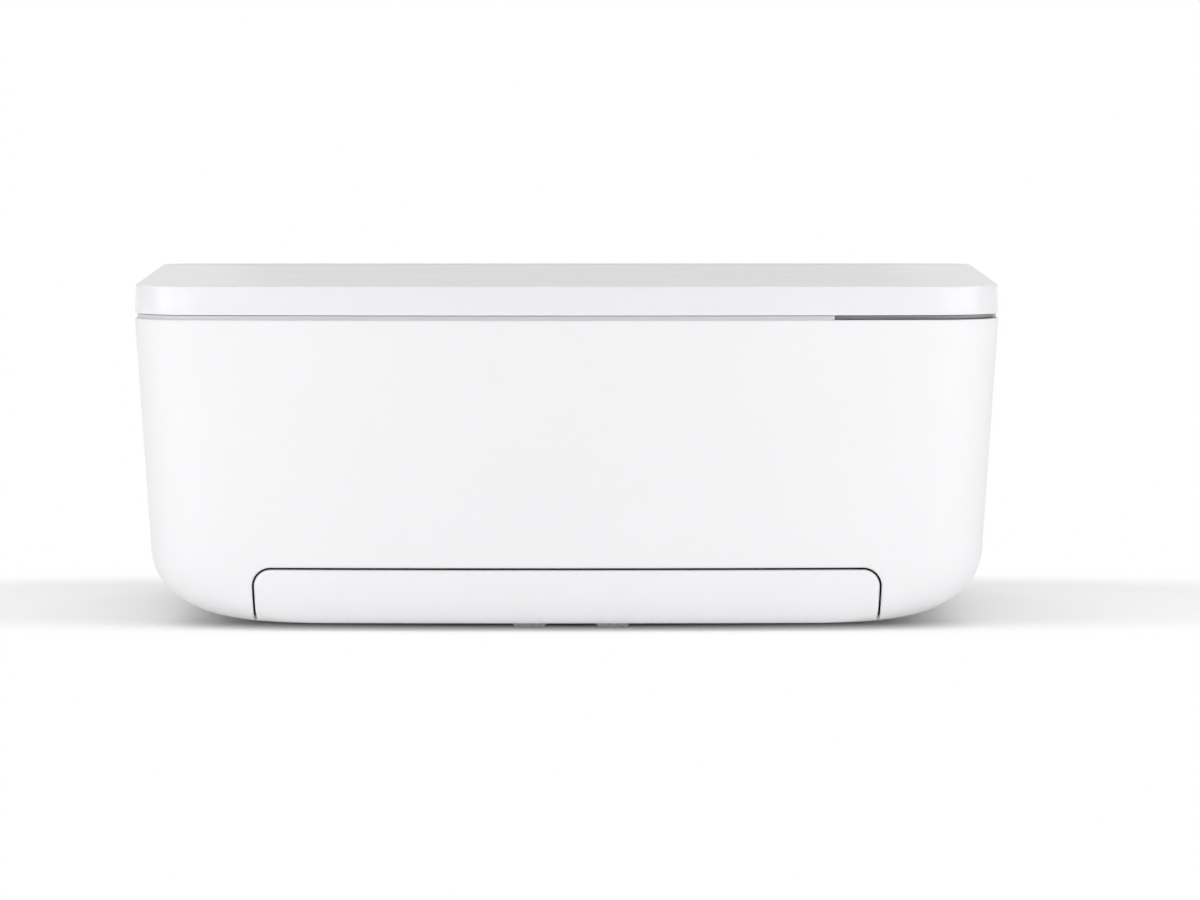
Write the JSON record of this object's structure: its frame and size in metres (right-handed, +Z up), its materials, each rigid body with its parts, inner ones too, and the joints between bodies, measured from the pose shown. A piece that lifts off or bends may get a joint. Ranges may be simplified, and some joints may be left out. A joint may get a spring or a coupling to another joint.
{
  "type": "inkjet printer",
  "caption": "Desktop inkjet printer with a flatbed scanner lid, rounded white casing, front paper drawer and a liftable scanner deck over the ink carriage.",
  "frame": {"origin": "on the floor, under the middle of the whole object's box", "axes": "+X to the right seen from the front, +Y to the rear, +Z up; the paper drawer faces -Y"},
  "size_m": [0.432, 0.361, 0.173],
  "materials": {
    "casing_white": "fine satin texture, cool white",
    "lid_white": "polished white",
    "bezel_white": "satin pale grey-white",
    "grip_grey": "satin dark grey",
    "engine_grey": "moulded dark grey",
    "inner_black": "moulded black",
    "glass": "clear float glass",
    "foot_rubber": "soft dark rubber",
    "roller_rubber": "ground rubber on a steel shaft",
    "steel": "zinc-plated sheet and ground rod",
    "motor_can": "drawn steel can",
    "lens_grey": "translucent smoke grey",
    "gear_white": "natural acetal",
    "pad_white": "white film on foam",
    "board_green": "solder mask",
    "ink_black": "moulded black",
    "ink_color": "moulded dark grey",
    "latch_light": "moulded light grey",
    "guide_grey": "moulded mid grey",
    "lamp_white": "pale light bar"
  },
  "bodies": {
    "base": {"outer_casing": "casing_white", "rubber_feet": "foot_rubber", "edge_light_lenses": "lens_grey", "base_chassis": "inner_black", "inner_deck": "engine_grey", "engine_frame": "steel", "carriage_guide_rod": "steel", "platen": "inner_black", "paper_turn_guide": "inner_black", "feed_motor": "motor_can", "carriage_motor": "motor_can", "carriage_belt": "foot_rubber", "service_station_base": "engine_grey", "power_supply": "inner_black", "ac_inlet": "inner_black", "logic_board": "board_green", "usb_port": "steel", "deck_hinge_pins": "steel"},
    "scanner_deck": {"scanner_bezel": "bezel_white", "scanner_tub": "inner_black", "scanner_glass": "glass", "scan_guide_rod": "steel", "lid_grip_insert": "grip_grey", "lid_hinge_pins": "steel"},
    "lid": {"lid_shell": "lid_white", "lid_liner": "bezel_white", "lid_pad": "pad_white"},
    "scan_unit": {"scan_bar": "lamp_white", "scan_motor": "motor_can"},
    "carriage": {"carriage_body": "engine_grey", "black_cartridge": "ink_black", "color_cartridge": "ink_color"},
    "feed_roller_set": {"feed_roller": "roller_rubber", "feed_gear": "gear_white"},
    "exit_roller_set": {"exit_roller": "roller_rubber", "exit_gear": "gear_white"},
    "service_sled_set": {"service_sled": "latch_light", "printhead_caps": "foot_rubber"},
    "paper_tray": {"tray_front": "casing_white", "tray_tub": "engine_grey", "output_deck": "engine_grey"},
    "scan_pinion_body": {"scan_pinion": "gear_white"},
    "black_latch_body": {"black_latch": "latch_light"},
    "color_latch_body": {"color_latch": "latch_light"},
    "carriage_drive_pulley_body": {"carriage_drive_pulley": "gear_white"},
    "carriage_idler_pulley_body": {"carriage_idler_pulley": "gear_white"},
    "idler_gear_body": {"idler_gear": "gear_white"},
    "motor_pinion_body": {"motor_pinion": "gear_white"},
    "pinch_rollers_body": {"pinch_rollers": "engine_grey"},
    "star_wheels_body": {"star_wheels": "steel"},
    "pick_arm_body": {"pick_arm": "engine_grey"},
    "pick_roller_body": {"pick_roller": "roller_rubber"},
    "left_width_guide_body": {"left_width_guide": "guide_grey"},
    "right_width_guide_body": {"right_width_guide": "guide_grey"},
    "guide_pinion_body": {"guide_pinion": "gear_white"},
    "length_guide_body": {"length_guide": "guide_grey"},
    "rear_door_body": {"rear_door": "casing_white"},
    "power_button_body": {"power_button": "grip_grey"},
    "wireless_button_body": {"wireless_button": "grip_grey"}
  },
  "joints": [
    {"name": "deck_lift", "type": "hinge", "parent": "base", "child": "scanner_deck", "pos_m": [0, 0.178, 0.1475], "axis": [-1, 0, 0], "range_deg": [0, 30]},
    {"name": "lid_open", "type": "hinge", "parent": "scanner_deck", "child": "lid", "pos_m": [0, 0.178, 0.1572], "axis": [-1, 0, 0], "range_deg": [0, 85]},
    {"name": "scan_travel", "type": "slide", "parent": "scanner_deck", "child": "scan_unit", "axis": [1, 0, 0], "range_m": [0, 0.29]},
    {"name": "scan_pinion_turn", "type": "hinge", "parent": "scan_unit", "child": "scan_pinion_body", "pos_m": [-0.145, 0, 0.1376], "axis": [0, 1, 0], "range_deg": [0, 2375]},
    {"name": "carriage_travel", "type": "slide", "parent": "base", "child": "carriage", "axis": [1, 0, 0], "range_m": [-0.266, 0]},
    {"name": "drive_pulley_turn", "type": "hinge", "parent": "base", "child": "carriage_drive_pulley_body", "pos_m": [0.172, 0, 0.086], "axis": [0, 1, 0], "range_deg": [0, 2542]},
    {"name": "idler_pulley_turn", "type": "hinge", "parent": "base", "child": "carriage_idler_pulley_body", "pos_m": [-0.172, 0, 0.086], "axis": [0, 1, 0], "range_deg": [0, 2542]},
    {"name": "black_latch_open", "type": "hinge", "parent": "carriage", "child": "black_latch_body", "pos_m": [0.1605, 0.0632, 0.0865], "axis": [-1, 0, 0], "range_deg": [0, 40]},
    {"name": "color_latch_open", "type": "hinge", "parent": "carriage", "child": "color_latch_body", "pos_m": [0.1215, 0.0632, 0.0865], "axis": [-1, 0, 0], "range_deg": [0, 40]},
    {"name": "feed_turn", "type": "hinge", "parent": "base", "child": "feed_roller_set", "pos_m": [0, 0.078, 0.038], "axis": [1, 0, 0], "continuous": true},
    {"name": "exit_turn", "type": "hinge", "parent": "base", "child": "exit_roller_set", "pos_m": [0, 0.012, 0.04], "axis": [1, 0, 0], "continuous": true},
    {"name": "idler_gear_turn", "type": "hinge", "parent": "base", "child": "idler_gear_body", "pos_m": [-0.1886, 0.04229, 0.03342], "axis": [1, 0, 0], "continuous": true},
    {"name": "motor_pinion_turn", "type": "hinge", "parent": "base", "child": "motor_pinion_body", "pos_m": [-0.1886, 0.0589, 0.05848], "axis": [1, 0, 0], "continuous": true},
    {"name": "pinch_turn", "type": "hinge", "parent": "base", "child": "pinch_rollers_body", "pos_m": [0, 0.078, 0.0503], "axis": [1, 0, 0], "continuous": true},
    {"name": "star_wheel_turn", "type": "hinge", "parent": "base", "child": "star_wheels_body", "pos_m": [0, 0.012, 0.0513], "axis": [1, 0, 0], "continuous": true},
    {"name": "pick_arm_lift", "type": "hinge", "parent": "base", "child": "pick_arm_body", "pos_m": [0, 0.092, 0.034], "axis": [1, 0, 0], "range_deg": [0, 15]},
    {"name": "pick_roller_turn", "type": "hinge", "parent": "pick_arm_body", "child": "pick_roller_body", "pos_m": [0, 0.11022, 0.0208], "axis": [1, 0, 0], "continuous": true},
    {"name": "service_sled_travel", "type": "slide", "parent": "base", "child": "service_sled_set", "axis": [0, 1, 0], "range_m": [0, 0.01]},
    {"name": "tray_pull", "type": "slide", "parent": "base", "child": "paper_tray", "axis": [0, -1, 0], "range_m": [0, 0.165]},
    {"name": "right_guide_slide", "type": "slide", "parent": "paper_tray", "child": "right_width_guide_body", "axis": [-1, 0, 0], "range_m": [0, 0.055]},
    {"name": "left_guide_slide", "type": "slide", "parent": "paper_tray", "child": "left_width_guide_body", "axis": [1, 0, 0], "range_m": [0, 0.055]},
    {"name": "guide_pinion_turn", "type": "hinge", "parent": "paper_tray", "child": "guide_pinion_body", "pos_m": [0, 0.02, 0.0114], "axis": [0, 0, 1], "range_deg": [0, 452]},
    {"name": "length_guide_slide", "type": "slide", "parent": "paper_tray", "child": "length_guide_body", "axis": [0, 1, 0], "range_m": [0, 0.06]},
    {"name": "rear_door_open", "type": "hinge", "parent": "base", "child": "rear_door_body", "pos_m": [0, 0.177, 0.047], "axis": [-1, 0, 0], "range_deg": [0, 90]},
    {"name": "power_button_press", "type": "slide", "parent": "base", "child": "power_button_body", "axis": [0, -1, 0], "range_m": [0, 0.0009], "stiffness_N_per_m": 400},
    {"name": "wireless_button_press", "type": "slide", "parent": "base", "child": "wireless_button_body", "axis": [0, -1, 0], "range_m": [0, 0.0009], "stiffness_N_per_m": 400}
  ],
  "couplings": [
    {"joint": "scan_pinion_turn", "follows": "scan_travel", "rad_per_m": 142.86},
    {"joint": "drive_pulley_turn", "follows": "carriage_travel", "rad_per_m": -166.67},
    {"joint": "idler_pulley_turn", "follows": "carriage_travel", "rad_per_m": -166.67},
    {"joint": "exit_turn", "follows": "feed_turn", "ratio": 1.3333},
    {"joint": "idler_gear_turn", "follows": "feed_turn", "ratio": -1.25},
    {"joint": "motor_pinion_turn", "follows": "feed_turn", "ratio": -2.5},
    {"joint": "pinch_turn", "follows": "feed_turn", "ratio": -2},
    {"joint": "star_wheel_turn", "follows": "feed_turn", "ratio": -1.6},
    {"joint": "left_guide_slide", "follows": "right_guide_slide", "ratio": 1},
    {"joint": "guide_pinion_turn", "follows": "right_guide_slide", "rad_per_m": 142.86}
  ]
}
